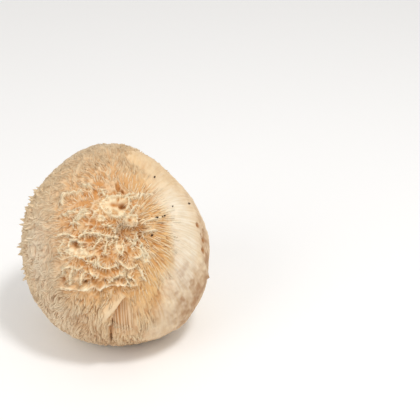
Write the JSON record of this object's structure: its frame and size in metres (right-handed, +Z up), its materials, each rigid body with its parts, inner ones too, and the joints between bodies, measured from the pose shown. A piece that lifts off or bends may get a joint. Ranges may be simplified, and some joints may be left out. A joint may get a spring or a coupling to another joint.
{
  "type": "lions mane mushroom",
  "caption": "Rounded mushroom head covered in soft cream spines that part in a shaggy whorl and comb down to a flat cut foot.",
  "frame": {"origin": "centre of the flat cut that the mushroom stands on", "axes": "+Z up, away from the cut; the shaggy whorl faces -Y and up; +X to the right of somebody facing it"},
  "size_m": [0.1075, 0.1017, 0.1075],
  "materials": {
    "cream_flesh": "soft, matte, slightly translucent spongy flesh, cream to tan, browner at the right rim and lower edge"
  },
  "bodies": {
    "root": {"mushroom_head": "cream_flesh"}
  },
  "joints": []
}
